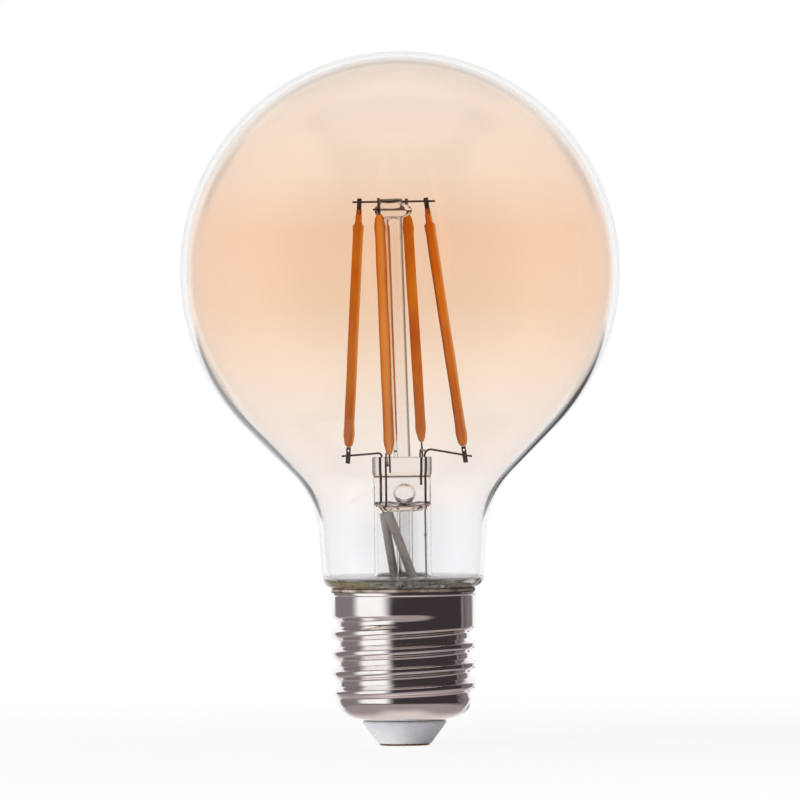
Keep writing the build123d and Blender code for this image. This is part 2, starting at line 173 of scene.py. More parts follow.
def new_finish(name, **constants):
    """Material with a Principled surface; gives it with its shader and its object coordinates"""
    finish = bpy.data.materials.new(name)
    finish.use_nodes = True
    shader = finish.node_tree.nodes["Principled BSDF"]
    for socket, value in constants.items():
        shader.inputs[socket.replace("_", " ")].default_value = value
    place = Shade(finish.node_tree.nodes.new("ShaderNodeTexCoord").outputs["Object"])
    return finish, shader, place


def set_input(shader, socket, shade):
    """Link a changing value or colour to one socket of a shader"""
    shader.id_data.links.new(shade.socket, shader.inputs[socket])


def split(place):
    """The three coordinates of a place or a direction"""
    return [place.node("SeparateXYZ", {}, {"Vector": place}, axis) for axis in range(3)]


def new_glass(name):
    """Clear glass; gives it with its shader, its three coordinates and how far a point faces away"""
    finish, shader, place = new_finish(name, Transmission_Weight=1.0, Roughness=0.0, IOR=1.5)
    return finish, shader, split(place), place.node("LayerWeight", {}, {"Blend": 0.5}, "Facing")


def paint_glass_shade(shader, *shadows):
    """Paint shade into clear glass, darkening it to brown where any of the given values rises to 1"""
    clear = (0.99, 0.985, 0.98, 1)
    brown = (0.014, 0.009, 0.006, 1)
    dark = shadows[0]
    for shadow in shadows[1:]:
        dark = dark.most(shadow)
    set_input(shader, "Base Color", dark.mixed(clear, brown))


flare_low, flare_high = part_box("stem_flare")
skirt_radius = flare_high.x
tube_radius = 5.2 * mm
tube_wall = 0.6 * mm
flare_bend = 0.8 * mm
flare_angle = 86
tube_top = flare_high.z - 10.4 * mm
cavity_top = tube_top + 1.8 * mm
pinch_top = cavity_top + 0.5 * mm
bore_pinch_top = cavity_top + 0.2 * mm
bar_top = flare_high.z
bar_base = bar_top - 2.9 * mm
bar_round = 0.35 * mm
swell_base = bar_base - 0.4 * mm
swell_top = bar_base + 0.5 * mm
cavity_round = 0.9 * mm
web_half = 1.8 * mm
bar_half = 2.5 * mm
bar_reach = 5.45 * mm
cavity_half = 1.5 * mm
end_bulge = 0.18
side_bulge = 0.35
hole_place = Vector((0.4 * mm, 0, cavity_top + 2.0 * mm))
hole_radius = 1.7 * mm
hole_lip = 0.45 * mm
hole_depth = 1.3 * mm
roof_sag = 1.3 * mm
roof_reach = 4.4 * mm
flare_steps = 144


def flare_outline():
    """Half section of the flare, from the press's top down its outside and up its bore"""
    rim_half = tube_wall / 2
    rim = (skirt_radius - rim_half, flare_low.z + rim_half)
    slope = radians(flare_angle)
    bend_out = tube_radius + flare_bend
    bend_run = bend_out - flare_bend * cos(slope)
    skirt_rise = (skirt_radius - bend_run) / tan(slope)
    bend_height = flare_low.z + tube_wall / sin(slope) + skirt_rise + flare_bend * sin(slope)
    bore = tube_radius - tube_wall
    points = line((0, bar_top), (tube_radius - bar_round, bar_top), 12)
    points += arc((tube_radius - bar_round, bar_top - bar_round), bar_round, 90, 0, 8)
    points += line((tube_radius, bar_top - bar_round), (tube_radius, tube_top), 64)
    points += line((tube_radius, tube_top), (tube_radius, bend_height), 48)[1:-1]
    points += arc((bend_out, bend_height), flare_bend, 180, 180 + flare_angle, 12)
    points += arc(rim, rim_half, flare_angle, flare_angle - 180, 10)
    points += arc((bend_out, bend_height), flare_bend + tube_wall, 180 + flare_angle, 180, 12)
    points += line((bore, bend_height), (bore, cavity_top - cavity_round), 72)
    points += arc((bore - cavity_round, cavity_top - cavity_round), cavity_round, 0, 90, 6)
    points += line((bore - cavity_round, cavity_top), (0, cavity_top), 6)
    return points


def pinch(vert, reach, half, share):
    """Squash a round section towards a flat one with rounded ends"""
    along = vert.co.x / tube_radius
    across = vert.co.y / tube_radius
    flat_x = along * (1 + end_bulge * share * across * across) * reach
    flat_y = across * half * (1 + side_bulge * share * along * along)
    vert.co.x += (flat_x - vert.co.x) * share
    vert.co.y += (flat_y - vert.co.y) * share


flare_mesh = turned(flare_outline(), flare_steps)
for vert in flare_mesh.verts:
    height = vert.co.z
    radius = Vector((vert.co.x, vert.co.y)).length
    if height > tube_top:
        inside = radius < tube_radius - tube_wall / 2 and height < cavity_top + tube_wall
        share = smooth_step(height, tube_top, bore_pinch_top if inside else pinch_top)
        swell = smooth_step(height, swell_base, swell_top)
        half = cavity_half if inside else web_half + (bar_half - web_half) * swell
        reach = tube_radius if inside else tube_radius + (bar_reach - tube_radius) * swell
        pinch(vert, reach, half, share)
        away = Vector((vert.co.x - hole_place.x, 0, height - hole_place.z)).length
        if inside:
            sag = roof_sag * max(0, 1 - (vert.co.x / roof_reach) ** 2)
            vert.co.z -= sag * smooth_step(height, tube_top, cavity_top)
        elif vert.co.y < 0:
            lip = smooth_step(away, hole_radius + 2 * hole_lip, hole_radius + hole_lip)
            dimple = smooth_step(away, hole_radius + hole_lip / 2, hole_radius - hole_lip)
            vert.co.y -= lip * (1 - dimple) * hole_lip
            vert.co.y += dimple * hole_depth
flare_finish, flare_shader, (flare_x, flare_y, flare_z), facing = new_glass("flare_glass")
# Painted shade: the glass goes brown towards its limb, at the bar's ends with a line near each, under the crease,
# round the blow hole (most on its lower side) and along the bar's top edge
from_middle = abs(flare_x)
in_bar = flare_z.between(swell_base, bar_base)
end_shade_line = from_middle.between(3.8 * mm, 4.05 * mm) * from_middle.between(4.35 * mm, 4.1 * mm)
bar_end_shade = (from_middle.between(4.2 * mm, 5.2 * mm, 0, 0.95) + end_shade_line * 0.6) * in_bar
over_crease = flare_z.between(bar_base, bar_base - 0.25 * mm)
crease = flare_z.between(bar_base - 0.7 * mm, swell_base, 0, 0.85) * over_crease
hole_way = flare_z.node("CombineXYZ", {}, {0: flare_x - hole_place.x, 2: flare_z - hole_place.z})
from_hole = hole_way.node("VectorMath", {"operation": "LENGTH"}, {0: hole_way}, "Value")
ring = from_hole.between(hole_radius - 0.3 * mm, hole_radius)
ring = ring * from_hole.between(hole_radius + 0.5 * mm, hole_radius + 0.2 * mm)
low_side = flare_z.between(hole_place.z + hole_radius, hole_place.z - hole_radius, 0.3, 0.9)
hole_ring_shade = ring * low_side * flare_y.between(-0.5 * mm, -1.0 * mm)
bar_edge_shade = flare_z.between(bar_top - 0.3 * mm, bar_top - 0.15 * mm, 0, 0.6)
paint_glass_shade(flare_shader, facing.between(0.66, 0.95, 0, 0.8), bar_end_shade, crease, hole_ring_shade, bar_edge_shade)
make_piece("stem_flare_glass", flare_mesh, flare_finish, "stem_glass", "stem_flare", crease=60)

# Exhaust tube
# A thin glass tube fused under the press. Air was drawn out through it before its tip was melted shut.
exhaust_low, exhaust_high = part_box("exhaust_tube")
exhaust_axis = (exhaust_low.x + exhaust_high.x) / 2
exhaust_radius = (exhaust_high.x - exhaust_low.x) / 2
exhaust_bore = exhaust_radius - tube_wall
nib_length = 2.2 * mm
nib_round = 0.5 * mm
exhaust_mesh = turned(
    [
        (0, exhaust_low.z),
        *arc((0, exhaust_low.z + nib_round), nib_round, -90, -20, 6),
        (exhaust_radius * 0.8, exhaust_low.z + nib_length * 0.7),
        (exhaust_radius, exhaust_low.z + nib_length),
        (exhaust_radius, exhaust_high.z),
        (exhaust_bore, exhaust_high.z),
        (exhaust_bore, exhaust_low.z + nib_length),
        (exhaust_bore * 0.6, exhaust_low.z + nib_length * 0.75),
        (0, exhaust_low.z + nib_length * 0.6),
    ],
    48,
)
bmesh.ops.translate(exhaust_mesh, verts=exhaust_mesh.verts, vec=(exhaust_axis, 0, 0))
exhaust_finish, exhaust_shader, (exhaust_x, _, _), facing = new_glass("exhaust_glass")
shade_side = exhaust_x.between(exhaust_axis - exhaust_radius / 2, exhaust_axis + exhaust_radius / 2, 0.5, 0.95)
paint_glass_shade(exhaust_shader, facing.between(0.35, 0.75) * shade_side)
make_piece("exhaust_tube_glass", exhaust_mesh, exhaust_finish, "stem_glass", "exhaust_tube", crease=60)

# Stem post
# A solid glass rod that stands in the press with a slight lean. Its top was softened and pinched flat to a button
# between two jaws, with both support wires caught in it; glass swelled out on both sides.
post_lean = radians(1.43)
post_radius = 1.55 * mm
post_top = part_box("stem_post")[1].z
post_foot = bar_top + 0.01 * mm
button_reach = 3.4 * mm
button_height = 3.3 * mm
button_top = 2.25 * mm
button_half = 1.6 * mm
button_base = post_top - button_height
button_neck = button_base - 0.3 * mm
button_round = 0.2 * mm
bulge = 1.15 * mm
button_shift = 0.55 * mm
post_mesh = turned(
    [
        (0, post_foot),
        *line((post_radius, post_foot), (post_radius, button_neck), 12),
        *arc((button_reach - bulge, button_base + bulge), bulge, -78, 75, 14),
        *arc((button_top - button_round, post_top - button_round), button_round, 20, 90, 5),
        *line((button_top - button_round, post_top), (0, post_top), 4),
    ],
    64,
)
for vert in post_mesh.verts:
    radius = Vector((vert.co.x, vert.co.y)).length
    if radius > button_half:
        vert.co.y *= button_half / radius
    vert.co.x -= button_shift * smooth_step(vert.co.z, button_base + bulge, post_top)
lean = Matrix.Rotation(-post_lean, 3, "Y")
bmesh.ops.rotate(post_mesh, verts=post_mesh.verts, cent=(0, 0, bar_top), matrix=lean)
post_finish, post_shader, (post_x, _, post_z), facing = new_glass("post_glass")
# Painted shade: the rod goes brown towards its limb, more on its right side, and so do the button's limb, a band
# just under its flat top and a band round the button's foot
side = (post_x + (post_z - bar_top) * tan(post_lean)) / post_radius
in_button = post_z.between(button_neck, button_base + 0.2 * mm)
rod_edge_shade = facing.between(0.18, 0.45) * side.between(-0.4, 0.6, 0.45, 0.95) * (1 - in_button)
button_edge_shade = facing.between(0.3, 0.85, 0, 0.8) * in_button
top_bar_shade = post_z.between(post_top - 0.95 * mm, post_top - 0.75 * mm, 0, 0.75)
shoulder_shade = post_z.between(button_neck, button_base - 0.15 * mm)
shoulder_shade = shoulder_shade * post_z.between(button_base + 0.15 * mm, button_base)
paint_glass_shade(post_shader, rod_edge_shade, button_edge_shade, top_bar_shade, shoulder_shade * 0.7)
make_piece("stem_post_glass", post_mesh, post_finish, "stem_glass", "stem_post", crease=50)

# Lead and support wires
# Drawn wire, dull grey-brown from the sealing flame: two straight ones through the button, and four that come
# up out of the press and bend out to the filaments' feet. The copper-coated stretch inside the glass is red.
seal_foot = cavity_top + 1 * mm
seal_head = bar_top - 0.6 * mm


def speckle(place, scale, detail=2.0):
    """Fine noise on a piece's own coordinates, with its scale in marks to the metre"""
    return place.node("TexNoise", {}, {"Vector": place, "Scale": scale, "Detail": detail}, "Fac")


def dress(finish, *names):
    """Give a finish to pieces that keep their CAD mesh"""
    for name in names:
        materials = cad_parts[name].data.materials
        materials.clear()
        materials.append(finish)


wire_finish, wire_shader, wire_place = new_finish("lead_wire", Metallic=1.0)
wire_z = split(wire_place)[2]
sealed = wire_z.between(cavity_top, seal_foot) * wire_z.between(bar_top, seal_head)
scorch = speckle(wire_place, 1400, 3).between(0.3, 0.7)
drawn = scorch.mixed((0.10, 0.07, 0.055, 1), (0.20, 0.155, 0.13, 1))
set_input(wire_shader, "Base Color", sealed.mixed(drawn, (0.22, 0.075, 0.05, 1)))
set_input(wire_shader, "Roughness", scorch.between(0, 1, 0.32, 0.5))
dress(wire_finish, "top_wire_outer", "top_wire_inner", "lead_left", "lead_front", "lead_right", "arm_rear")

# Filament terminals
# Flat tags stamped from plated sheet, one at each end of a filament, welded to the wires.
tag_finish, tag_shader, tag_place = new_finish("terminal_tag", Metallic=1.0)
tarnish = speckle(tag_place, 900, 3).between(0.35, 0.7)
set_input(tag_shader, "Base Color", tarnish.mixed((0.08, 0.055, 0.045, 1), (0.17, 0.13, 0.11, 1)))
set_input(tag_shader, "Roughness", tarnish.between(0, 1, 0.3, 0.45))
filament_names = [f"filament_{index}" for index in range(1, 5)]
dress(tag_finish, *(name + "_terminals" for name in filament_names))

# Filaments
# Sticks of tiny chips under amber phosphor in silicone. The coat was drawn on soft, so it swells a little along
# its length, is rounded off at both ends and thins out to paler, clearer silicone at the tips.
head_ring = 6.8 * mm
head_turn = 22
foot_ring = 10.83 * mm
foot_turn = 15.7
foot_shift = 0.7 * mm
head_rises = (43.7 * mm, 43.5 * mm, 43.7 * mm, 43.6 * mm)
foot_rises = (1.8 * mm, 0.4 * mm, 2.6 * mm, 1.8 * mm)
quarters = (180, -90, 90, 0)
filament_radius = 0.97 * mm
tip_radius = 0.4 * mm
head_tip = 2.0 * mm
foot_tips = (1.6 * mm, 4.4 * mm, 3.6 * mm, 1.6 * mm)
stepped = (True, False, False, True)
step_radius = 0.68 * mm
step_length = 1.4 * mm
step_rows = 6
film_radius = 0.5 * mm
film_length = 1.0 * mm
film_gap = 0.1 * mm
# Painted shade and light: each stick's tones for its left side, middle and right side; above 0 the amber goes
# darker, below 0 lighter, as light falls on it
painted_side_shades = ((0.45, 0.4, -1.0), (0.65, -0.5, 0.65), (0.55, 0.2, 0.0), (0.9, -0.05, -0.9))
coat_wave = 0.07 * mm
coat_draw = 0.35
coat_marks = 160
girth_marks = 300
coat_seed = 17
end_bead = 0.09 * mm
bead_start = 1.4 * mm
bead_full = (2.2 * mm, 2.4 * mm)
bead_end = 3.8 * mm


def ring_point(ring, turn, rise, shift):
    """Point on a level ring round the post, above the press"""
    return Vector((shift + ring * cos(radians(turn)), ring * sin(radians(turn)), bar_top + rise))


def rounded(width, start, reach):
    """Half outline of a stick's rounded end, from its tip to its full width"""
    turns = [pi / 2 * step / 10 for step in range(11)]
    return [(start + (width - start) * sin(turn), reach * (1 - cos(turn))) for turn in turns]


def bumped(shader, height, strength, distance):
    """Raise a shader's surface by a height pattern"""
    sockets = {"Height": height, "Strength": strength, "Distance": distance}
    set_input(shader, "Normal", height.node("Bump", {}, sockets))


# Painted light: the coat glows weakly in its own amber, which lifts it above what the lamps give
phosphor_finish, phosphor_shader, phosphor_place = new_finish(
    "amber_phosphor", Specular_IOR_Level=0.0, Emission_Strength=0.2
)
grain = speckle(phosphor_place, 1800, 3)
cloud = speckle(phosphor_place, 70, 2).between(0.3, 0.7)
# Painted shade and light: the mark darkens the amber above 0 and lightens it below 0; the film at the tips of the
# stepped sticks takes the darkest amber
flank = phosphor_place.node("Attribute", {"attribute_name": "mark"}, {}, "Fac")
amber = cloud.mixed((0.62, 0.145, 0.006, 1), (0.82, 0.29, 0.026, 1))
amber = flank.between(0, 1).mixed(amber, (0.40, 0.105, 0.006, 1))
amber = flank.between(0, -1).mixed(amber, (0.86, 0.42, 0.14, 1))
set_input(phosphor_shader, "Base Color", amber)
set_input(phosphor_shader, "Emission Color", amber)
set_input(phosphor_shader, "Roughness", grain.between(0.3, 0.7, 0.5, 0.7))
bumped(phosphor_shader, grain, 0.25, 0.05 * mm)

for index, (name, quarter) in enumerate(zip(filament_names, quarters)):
    head_shift = -head_rises[index] * tan(post_lean)
    head = ring_point(head_ring, quarter - head_turn, head_rises[index], head_shift)
    foot = ring_point(foot_ring, quarter - foot_turn, foot_rises[index], foot_shift)
    axis = head - foot
    length = axis.length
    foot_tip = foot_tips[index]
    outline = [(0, 0), *rounded(filament_radius, tip_radius * 0.6, foot_tip)]
    outline += line((filament_radius, foot_tip), (filament_radius, length - head_tip), 60)
    if stepped[index]:
        for row in range(1, step_rows + 1):
            width = step_radius + (filament_radius - step_radius) * (1 - smooth_step(row, 0, step_rows))
            outline += [(width, length - head_tip + (head_tip - step_length) * row / step_rows)]
        outline += line((step_radius, length - step_length), (step_radius * 0.9, length), step_rows)
        outline += line((film_radius, length + film_gap), (film_radius, length + film_length), 3)
        outline += [(0, length + film_length)]
    else:
        blunt_end = reversed(rounded(filament_radius, tip_radius, head_tip))
        outline += [(radius, length - rise) for radius, rise in blunt_end]
        outline += [(0, length)]
    stick = turned(outline, 24)
    stance = axis.to_track_quat("Z", "Y").to_matrix()
    sideways = stance.inverted() @ Vector((1, 0, 0))
    left_tone, middle_tone, right_tone = painted_side_shades[index]
    layer = stick.verts.layers.float["mark"]
    for vert in stick.verts:
        along = vert.co.z * coat_marks + coat_seed * index
        wave = noise.noise(Vector((vert.co.x * girth_marks, vert.co.y * girth_marks, along)))
        away = Vector((vert.co.x, vert.co.y, 0))
        on_film = vert.co.z > length + film_gap / 2
        # Painted shade and light: each point's mark goes from the middle tone to its side's tone
        right_side = away.normalized().dot(sideways)
        edge_tone = right_tone if right_side > 0 else left_tone
        painted_side_tone = middle_tone + (edge_tone - middle_tone) * smooth_step(abs(right_side), 0.3, 0.95)
        vert[layer] = 1.0 if on_film else painted_side_tone
        if away.length > tip_radius and not on_film:
            near_end = min(vert.co.z, length - vert.co.z)
            bead = smooth_step(near_end, bead_start, bead_full[0]) * smooth_step(near_end, bead_end, bead_full[1])
            vert.co += away.normalized() * ((wave - coat_draw) * coat_wave + bead * end_bead)
    bmesh.ops.rotate(stick, verts=stick.verts, matrix=stance)
    bmesh.ops.translate(stick, verts=stick.verts, vec=foot)
    make_piece(name + "_coat", stick, phosphor_finish, "phosphor", name, crease=70)

# Woven sleeves
# Two tubes of braided glass fibre, slipped over the leads below the press to keep them apart.
sleeve_finish, sleeve_shader, sleeve_place = new_finish("woven_sleeve", Roughness=0.85)
strands = sleeve_place.node("TexWave", {"wave_type": "BANDS", "bands_direction": "DIAGONAL"},
                            {"Vector": sleeve_place, "Scale": 620, "Distortion": 1.5, "Detail": 1}, "Fac")
fluff = speckle(sleeve_place, 700, 3).between(0.3, 0.7)
cloth = fluff.mixed((0.74, 0.66, 0.58, 1), (0.90, 0.84, 0.77, 1))
set_input(sleeve_shader, "Base Color", strands.between(0.2, 0.9, 0, 0.35).mixed(cloth, (0.95, 0.91, 0.86, 1)))
bumped(sleeve_shader, strands + fluff, 0.5, 0.1 * mm)
dress(sleeve_finish, "sleeve_rear", "sleeve_front")

# Glass globe
# One piece of blown glass: a sphere that runs through a soft throat into the neck, curled in at its foot. A thin
# amber lustre inside is strongest round the middle and fades out to clear glass at the neck.
globe_low, globe_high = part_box("glass_globe")
globe_radius = globe_high.x
globe_centre = globe_high.z - globe_radius
glass_wall = 1.1 * mm
cone_angle = 45
throat_radius = 17.2 * mm
curl_radius = 2.1 * mm
spigot_length = 3.8 * mm
spigot_radius = 12.4 * mm
curl_out = 12.55 * mm
neck_radius = 15.15 * mm
globe_steps = 256
glass_base = globe_low.z + spigot_length
neck_base = glass_base + curl_radius
neck_top = neck_base + 6.9 * mm


def globe_skin(inset):
    """The globe's outline from its top down to its curled foot, set in from the outer skin"""
    points = arc((0, globe_centre), globe_radius - inset, 90, -cone_angle, 135)
    points += arc((neck_radius + throat_radius, neck_top), throat_radius + inset, 180 - cone_angle, 180, 24)
    points += arc((curl_out, neck_base), curl_radius - inset, 0, -90, 10)
    points += [(spigot_radius - inset, glass_base + inset)]
    return points


def blend_surface(tree, share, first, second):
    """Let a surface go from one shader to another as a share goes from 0 to 1"""
    blend = tree.nodes.new("ShaderNodeMixShader")
    set_input(blend, "Fac", share)
    tree.links.new(first.outputs[0], blend.inputs[1])
    tree.links.new(second.outputs[0], blend.inputs[2])
    tree.links.new(blend.outputs[0], tree.nodes["Material Output"].inputs["Surface"])


glass_finish, glass_shader, glass_place = new_finish(
    "amber_glass", Transmission_Weight=1.0, Roughness=0.0, IOR=1.47
)
glass_x, _, glass_z = split(glass_place)
rise = (glass_z - neck_base) / (globe_high.z - neck_base)
lustre_stops = (
    (0.06, (0.955, 0.955, 0.985)),
    (0.26, (0.99, 0.875, 0.79)),
    (0.38, (0.995, 0.79, 0.625)),
    (0.52, (0.995, 0.68, 0.47)),
    (0.66, (0.995, 0.65, 0.44)),
    (0.78, (0.995, 0.755, 0.58)),
    (0.93, (0.995, 0.815, 0.665)),
)
lustre = rise.node("ValToRGB", {"stops": lustre_stops}, {"Fac": rise})
inner_skin = glass_place.node("Attribute", {"attribute_name": "mark"}, {}, "Fac")
# Painted shade: the lustre turns grey towards the globe's limb
limb = glass_place.node("LayerWeight", {}, {"Blend": 0.5}, "Facing").between(0.5, 1.0, 0.0, 0.6)
lustre_and_limb_shade = limb.mixed(lustre, (0.86, 0.80, 0.74, 1))
set_input(glass_shader, "Base Color", inner_skin.mixed((0.985, 0.99, 0.99, 1), lustre_and_limb_shade))
# The foot: a pale speckle over its lower part and olive clods where the cement shows through are painted on the
# glass; a pale band along the curl's top rim is a painted highlight
low_foot = glass_z.between(glass_base + 1.9 * mm, glass_base + 0.9 * mm)
rim_highlight = glass_z.between(glass_base + 2.6 * mm, glass_base + 2.2 * mm, 0, 0.16)
rim_highlight = rim_highlight * glass_z.between(glass_base + 1.5 * mm, glass_base + 1.8 * mm)
crumbs = speckle(glass_place, 900, 4).between(0.35, 0.65)
smeared = glass_x.between(-4 * mm, -5.2 * mm) + glass_x.between(9.2 * mm, 10.2 * mm)
under_rim = glass_z.between(glass_base + 1.6 * mm, glass_base + 1.2 * mm)
clods = speckle(glass_place, 190, 3).between(0.36, 0.5) * smeared * under_rim
pale_foot_and_rim_highlight = low_foot * crumbs.between(0, 1, 0.05, 0.35) + rim_highlight
foot_overlay = pale_foot_and_rim_highlight.most(clods * low_foot * 0.95)
glass_tree = glass_finish.node_tree
foot_overlay_shader = glass_tree.nodes.new("ShaderNodeBsdfPrincipled")
foot_overlay_shader.inputs["Coat Weight"].default_value = 1.0
foot_overlay_shader.inputs["Roughness"].default_value = 0.8
olive = crumbs.mixed((0.11, 0.085, 0.025, 1), (0.26, 0.21, 0.09, 1))
set_input(foot_overlay_shader, "Base Color", clods.mixed((0.62, 0.56, 0.50, 1), olive))
blend_surface(glass_tree, foot_overlay, glass_shader, foot_overlay_shader)

outside_points = globe_skin(0) + [(spigot_radius, globe_low.z)]
inside_points = [(spigot_radius - glass_wall, globe_low.z), *reversed(globe_skin(glass_wall))]
marks = [0.0] * len(outside_points) + [1.0] * len(inside_points)
globe_mesh = turned(outside_points + inside_points, globe_steps, marks)
make_piece("globe_blown", globe_mesh, glass_finish, "globe_glass", "glass_globe", crease=60)

# Driver
# A round laminate board on the shell's shoulder, with the pieces that feed the filaments. All of it is hidden
# in the cap.
board_finish, board_shader, board_place = new_finish("board_laminate", Roughness=0.4)
weave = speckle(board_place, 1200, 2).between(0.3, 0.7)
set_input(board_shader, "Base Color", weave.mixed((0.015, 0.07, 0.025, 1), (0.025, 0.11, 0.04, 1)))
dress(board_finish, "driver_board")
package_finish, package_shader, package_place = new_finish("moulded_package")
pitted = speckle(package_place, 4000, 3)
set_input(package_shader, "Base Color", pitted.mixed((0.008, 0.008, 0.009, 1), (0.03, 0.03, 0.032, 1)))
set_input(package_shader, "Roughness", pitted.between(0.3, 0.7, 0.5, 0.7))
dress(package_finish, "bridge_rectifier", "driver_chip")
ferrite_finish, ferrite_shader, ferrite_place = new_finish("choke_ferrite", Roughness=0.6)
winding = ferrite_place.node("TexWave", {"bands_direction": "Z"}, {"Vector": ferrite_place, "Scale": 900}, "Fac")
set_input(ferrite_shader, "Base Color", winding.mixed((0.02, 0.018, 0.016, 1), (0.16, 0.06, 0.02, 1)))
dress(ferrite_finish, "choke")
can_finish, can_shader, can_place = new_finish("capacitor_sleeve", Roughness=0.3)
set_input(can_shader, "Base Color", speckle(can_place, 500).mixed((0.006, 0.008, 0.02, 1), (0.012, 0.02, 0.05, 1)))
dress(can_finish, "smoothing_capacitor")
resistor_finish, resistor_shader, resistor_place = new_finish("resistor_coat", Roughness=0.7)
glaze = speckle(resistor_place, 1500)
set_input(resistor_shader, "Base Color", glaze.mixed((0.06, 0.13, 0.10, 1), (0.10, 0.2, 0.16, 1)))
dress(resistor_finish, "fuse_resistor")
tinned_finish, tinned_shader, tinned_place = new_finish("tinned_wire", Metallic=1.0, Roughness=0.35)
tinning = speckle(tinned_place, 1500)
set_input(tinned_shader, "Base Color", tinning.mixed((0.45, 0.44, 0.42, 1), (0.62, 0.61, 0.59, 1)))
dress(tinned_finish, "live_wire", "neutral_wire")

# Screw shell
# Thin brass sheet, drawn to a cup, rolled with a round right-hand thread and plated with nickel. The rolled
# wave fades in above the dome and runs out under the smooth collar, whose lip is turned out a little.
shell_low, shell_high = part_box("screw_shell")
sheet = 0.3 * mm
lip_radius = shell_high.x
collar_radius = lip_radius - 0.2 * mm
crest_radius = 13.1 * mm
root_radius = 12.05 * mm
thread_pitch = 25.4 / 7 * mm
thread_phase = shell_low.z + 2.93 * mm
dome_rise = 3.85 * mm
dome_top = shell_low.z + dome_rise
dome_steps = 16
collar_base = shell_high.z - 5.2 * mm
lip_base = shell_high.z - 0.7 * mm
lip_run = 0.3 * mm
lip_steps = 5
shell_hole = 5.6 * mm
base_edge = 7.5 * mm
plain_radius = (crest_radius + root_radius) / 2 - 0.2 * mm
thread_top = collar_base + 1.2 * mm
collar_foot = collar_base + 1.25 * mm
crest_flats = (0.1 * mm, 0.12 * mm)
flank_rounds = (0.35 * mm, 0.8 * mm)
flank_angles = (radians(50), radians(54))
groove_ends = (collar_base + 0.9 * mm, collar_base - 0.4 * mm)
wall_ends = (collar_base + 1.6 * mm, collar_base - 0.2 * mm)
fade_in = (dome_top - 0.4 * mm, dome_top + 1.3 * mm)
thread_rows = 165
shell_steps = 208


def shell_outline():
    """Outer skin of the shell from the hole in its base to its lip, with the thread's place left plain"""
    points = line((shell_hole, shell_low.z), (base_edge, shell_low.z), 4)
    for step in range(1, dome_steps + 1):
        turn = pi / 2 * step / dome_steps
        points += [(base_edge + (plain_radius - base_edge) * sin(turn), shell_low.z + dome_rise * (1 - cos(turn)))]
    points += line((plain_radius, dome_top), (plain_radius, thread_top), thread_rows)[1:]
    points += line((collar_radius, collar_foot), (collar_radius, lip_base), 8)
    for step in range(1, lip_steps + 1):
        flared = collar_radius + (lip_radius - collar_radius) * smooth_step(step, 0, lip_steps)
        points += [(flared, lip_base + lip_run * step / lip_steps)]
    points += [(lip_radius, shell_high.z)]
    return points


def rolled_depth(offset, depth):
    """How far the thread lies under its crest, at an offset up the cap from the crest's line"""
    side = int(offset < 0)
    bend, angle = flank_rounds[side], flank_angles[side]
    offset = max(abs(offset) - crest_flats[side], 0)
    bend_reach = bend * sin(angle)
    bend_drop = bend * (1 - cos(angle))
    flank_reach = (depth - 2 * bend_drop) / tan(angle)
    if offset < bend_reach:
        return bend - (bend * bend - offset * offset) ** 0.5
    if offset < bend_reach + flank_reach:
        return bend_drop + (offset - bend_reach) * tan(angle)
    left = max(2 * bend_reach + flank_reach - offset, 0)
    return depth - bend + (bend * bend - left * left) ** 0.5


shell_mesh = turned(shell_outline(), shell_steps)
for vert in shell_mesh.verts:
    around = Vector((vert.co.x, vert.co.y))
    height = vert.co.z
    if fade_in[0] < height < collar_base + thread_pitch:
        turn = around.angle_signed(Vector((1, 0))) / (2 * pi)
        winding = (height - thread_phase) / thread_pitch - turn
        groove_height = thread_phase + thread_pitch * (winding // 1 + 0.5 + turn)
        depth = rolled_depth((winding - round(winding)) * thread_pitch, collar_radius - root_radius)
        depth *= smooth_step(groove_height, *groove_ends)
        depth *= smooth_step(height, *wall_ends)
        fade = smooth_step(height, *fade_in)
        rolled = around.length + (collar_radius - depth - around.length) * fade
        vert.co.x, vert.co.y = around.normalized() * rolled
bmesh.ops.solidify(shell_mesh, geom=shell_mesh.faces, thickness=sheet)
nickel_finish, nickel_shader, nickel_place = new_finish("nickel_plate", Metallic=1.0)
smear = speckle(nickel_place, 160, 4).between(0.3, 0.75)
fine = speckle(nickel_place, 2600, 3)
set_input(nickel_shader, "Base Color", smear.mixed((0.95, 0.92, 0.90, 1), (0.89, 0.855, 0.835, 1)))
set_input(nickel_shader, "Roughness", smear.between(0, 1, 0.08, 0.18))
bumped(nickel_shader, fine, 0.12, 0.02 * mm)
make_piece("screw_shell_rolled", shell_mesh, nickel_finish, "cap_nickel", "screw_shell", crease=50)

# Insulator
# A white moulded frustum that fills the hole in the shell's base and carries the centre contact.
insulator_low, insulator_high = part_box("insulator")
girth = insulator_high.x
insulator_foot = 5.0 * mm
foot_round = 0.35 * mm
brim_round = 0.4 * mm
hole_gap = 0.05 * mm
brim = shell_low.z - hole_gap
rivet_hole = 1.25 * mm
flange_radius = 6.6 * mm
flange_base = brim + 0.45 * mm
insulator_mesh = turned(
    [
        (rivet_hole, insulator_low.z),
        *arc((insulator_foot - foot_round, insulator_low.z + foot_round), foot_round, -90, -30, 6),
        *arc((girth - brim_round, brim - brim_round), brim_round, -30, 90, 10),
        (shell_hole - hole_gap, brim),
        (shell_hole - hole_gap, flange_base),
        (flange_radius, flange_base),
        (flange_radius, insulator_high.z),
        (rivet_hole, insulator_high.z),
        (rivet_hole, insulator_low.z),
    ],
    128,
)
white_finish, white_shader, white_place = new_finish("white_insulator", Coat_Weight=0.15)
mottle = speckle(white_place, 400, 3).between(0.35, 0.7)
set_input(white_shader, "Base Color", mottle.mixed((0.86, 0.87, 0.88, 1), (0.80, 0.81, 0.82, 1)))
